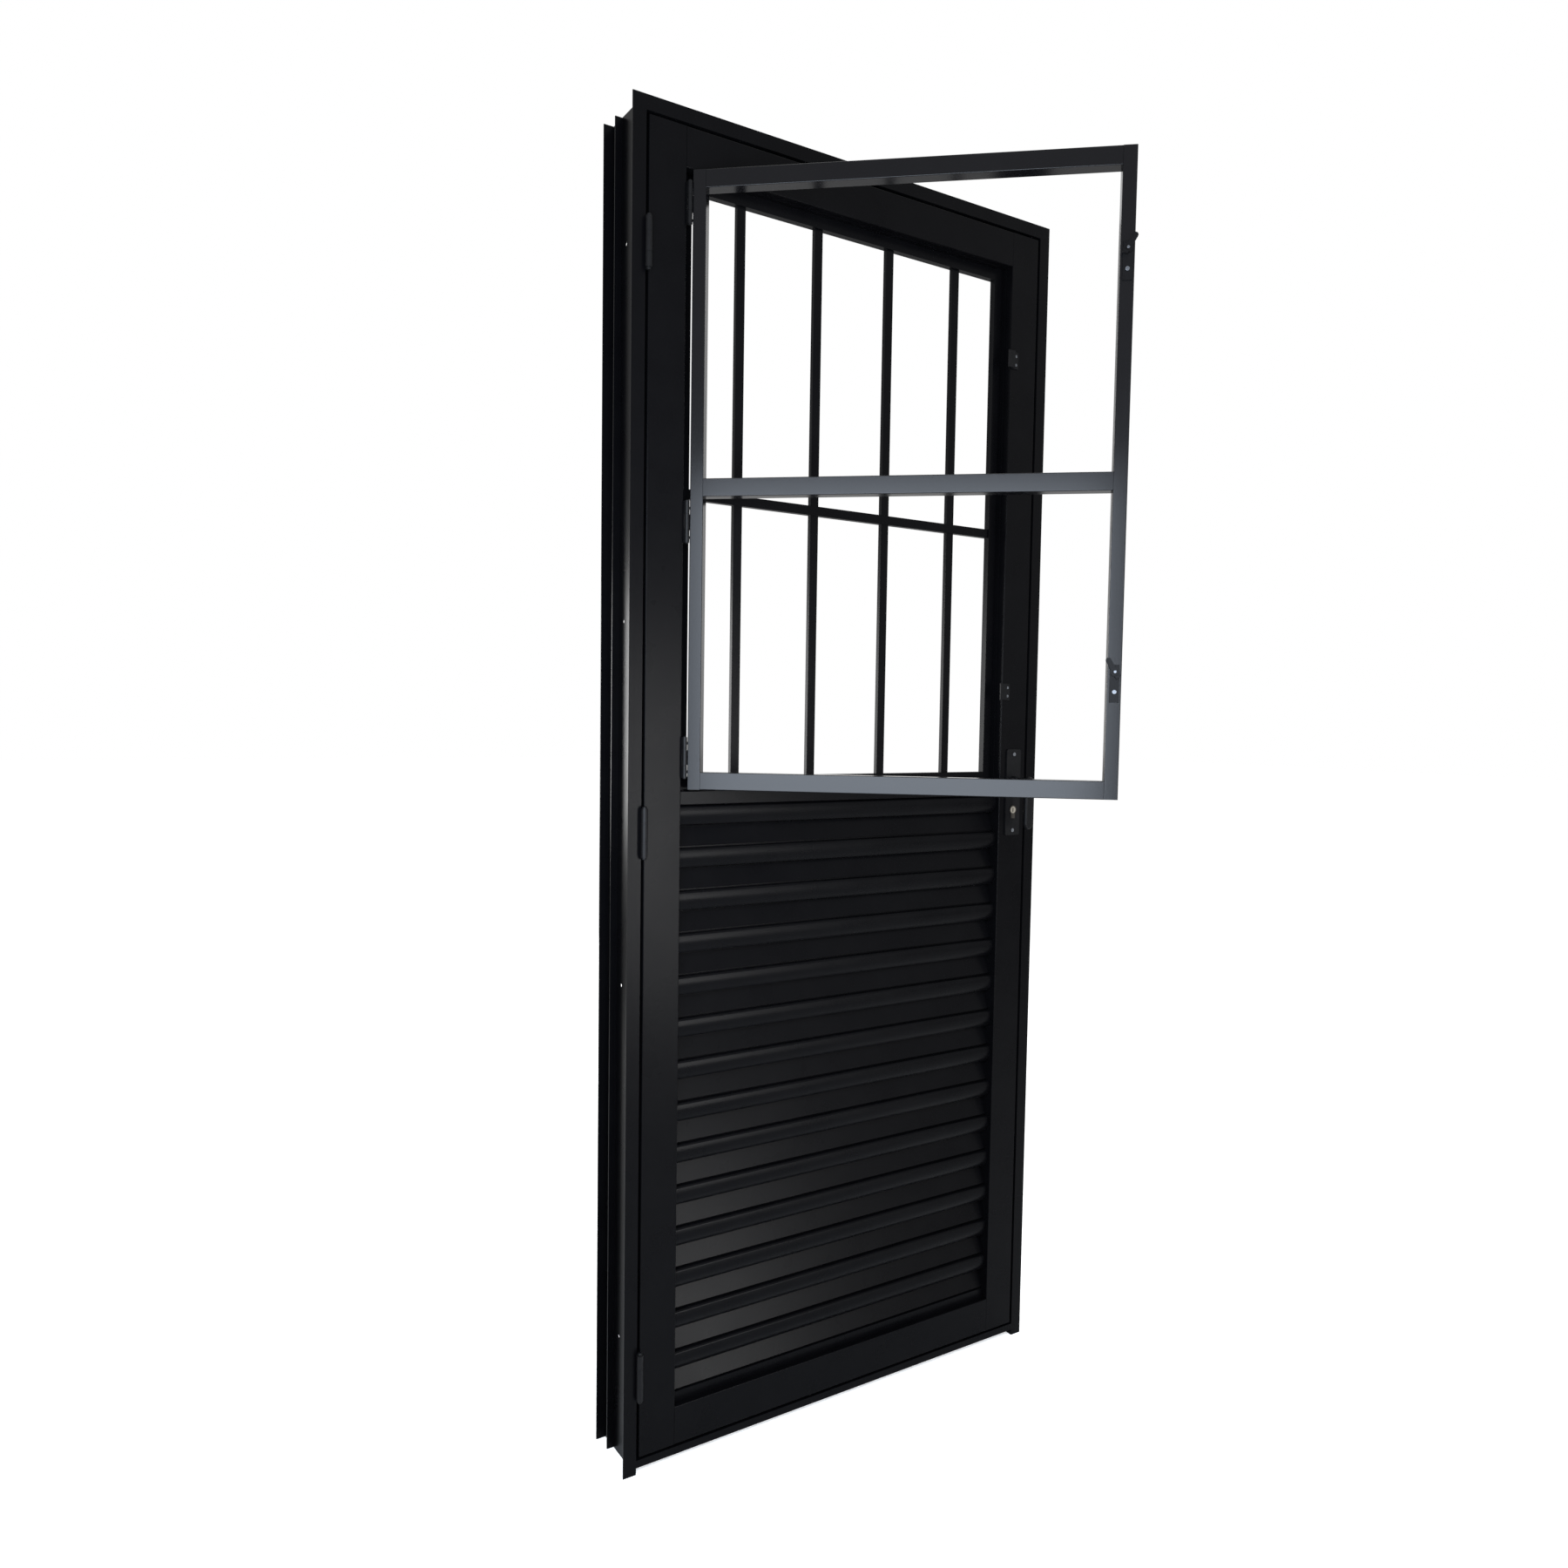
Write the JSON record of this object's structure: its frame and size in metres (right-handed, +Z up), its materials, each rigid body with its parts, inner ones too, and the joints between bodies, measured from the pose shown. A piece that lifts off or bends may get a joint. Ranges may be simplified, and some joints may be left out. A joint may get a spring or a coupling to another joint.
{
  "type": "aluminium door with frame",
  "caption": "Black aluminium outside door hung in its frame: closed louvre panel below, barred window above with a side-hung vent that opens outward.",
  "frame": {"origin": "middle of the frame's foot, in the plane of its front flange", "axes": "+X to the right seen from outside, +Y into the room, +Z up"},
  "size_m": [0.87, 0.5691, 2.17],
  "materials": {
    "black_powder_coat": "satin black powder coat on extruded aluminium",
    "black_cast_metal": "satin black paint on die-cast metal",
    "black_hinges": "satin black paint on extruded aluminium hinges",
    "zinc_plated_steel": "bright zinc plate",
    "nickel_plated_brass": "satin nickel plate",
    "black_rubber": "matte"
  },
  "bodies": {
    "frame": {"hinge_jamb": "black_powder_coat", "lock_jamb": "black_powder_coat", "frame_head": "black_powder_coat", "threshold": "black_powder_coat", "strike_plate": "zinc_plated_steel", "frame_seal": "black_rubber", "door_hinge_frame_plates": "black_hinges", "door_hinge_pins": "zinc_plated_steel"},
    "leaf": {"grille_bar_1": "black_powder_coat", "grille_bar_2": "black_powder_coat", "grille_bar_3": "black_powder_coat", "grille_bar_4": "black_powder_coat", "grille_cross_bar": "black_powder_coat", "leaf_bottom_rail": "black_powder_coat", "leaf_mid_rail": "black_powder_coat", "leaf_top_rail": "black_powder_coat", "louvre_slat_01": "black_powder_coat", "louvre_slat_02": "black_powder_coat", "louvre_slat_03": "black_powder_coat", "louvre_slat_04": "black_powder_coat", "louvre_slat_05": "black_powder_coat", "louvre_slat_06": "black_powder_coat", "louvre_slat_07": "black_powder_coat", "louvre_slat_08": "black_powder_coat", "louvre_slat_09": "black_powder_coat", "louvre_slat_10": "black_powder_coat", "louvre_slat_11": "black_powder_coat", "louvre_slat_12": "black_powder_coat", "louvre_slat_13": "black_powder_coat", "louvre_slat_14": "black_powder_coat", "window_stop_bottom": "black_powder_coat", "window_stop_left": "black_powder_coat", "window_stop_right": "black_powder_coat", "window_stop_top": "black_powder_coat", "hinge_stile": "black_powder_coat", "lock_stile": "black_powder_coat", "lock_case": "zinc_plated_steel", "lock_plates": "black_cast_metal", "lock_plate_screws": "zinc_plated_steel", "key_cylinder": "nickel_plated_brass", "door_hinge_leaf_plates": "black_hinges", "vent_hinge_leaf_plates": "black_hinges", "vent_hinge_pins": "zinc_plated_steel", "catch_keepers": "black_cast_metal"},
    "vent": {"vent_bottom_rail": "black_powder_coat", "vent_hinge_stile": "black_powder_coat", "vent_hinge_vent_plates": "black_hinges", "vent_lock_stile": "black_powder_coat", "vent_mid_rail": "black_powder_coat", "vent_top_rail": "black_powder_coat", "catch_bases": "black_cast_metal"},
    "handle": {"outer_lever": "black_cast_metal", "inner_lever": "black_cast_metal", "spindle": "zinc_plated_steel", "lock_follower": "zinc_plated_steel"},
    "latch": {"latch": "zinc_plated_steel"},
    "deadbolt": {"deadbolt": "zinc_plated_steel"},
    "plug": {"cylinder_plug": "nickel_plated_brass"},
    "lower_catch": {"lower_catch_lever": "black_cast_metal"},
    "upper_catch": {"upper_catch_lever": "black_cast_metal"}
  },
  "joints": [
    {"name": "leaf_swing", "type": "hinge", "parent": "frame", "child": "leaf", "pos_m": [-0.4095, -0.0062, 1.046], "axis": [0, 0, -1], "range_deg": [0, 100]},
    {"name": "vent_swing", "type": "hinge", "parent": "leaf", "child": "vent", "pos_m": [-0.339, -0.0045, 1.536], "axis": [0, 0, -1], "range_deg": [-41, 54]},
    {"name": "lever_turn", "type": "hinge", "parent": "leaf", "child": "handle", "pos_m": [0.376, 0.019, 1.115], "axis": [0, 1, 0], "range_deg": [0, 90]},
    {"name": "latch_slide", "type": "slide", "parent": "leaf", "child": "latch", "axis": [1, 0, 0], "range_m": [0, 0.01]},
    {"name": "key_turn", "type": "hinge", "parent": "leaf", "child": "plug", "pos_m": [0.376, 0.019, 1.059], "axis": [0, 1, 0], "range_deg": [0, 360]},
    {"name": "deadbolt_slide", "type": "slide", "parent": "leaf", "child": "deadbolt", "axis": [1, 0, 0], "range_m": [0, 0.014]},
    {"name": "lower_catch_turn", "type": "hinge", "parent": "vent", "child": "lower_catch", "pos_m": [0.15848, -0.43974, 1.306], "axis": [0.6561, 0.7547, 0], "range_deg": [0, 150]},
    {"name": "upper_catch_turn", "type": "hinge", "parent": "vent", "child": "upper_catch", "pos_m": [0.15848, -0.43974, 1.928], "axis": [0.6561, 0.7547, 0], "range_deg": [0, 90]}
  ],
  "couplings": [
    {"joint": "latch_slide", "follows": "lever_turn", "m_per_rad": 0.006366},
    {"joint": "key_turn", "follows": "deadbolt_slide", "rad_per_m": 448.79}
  ]
}
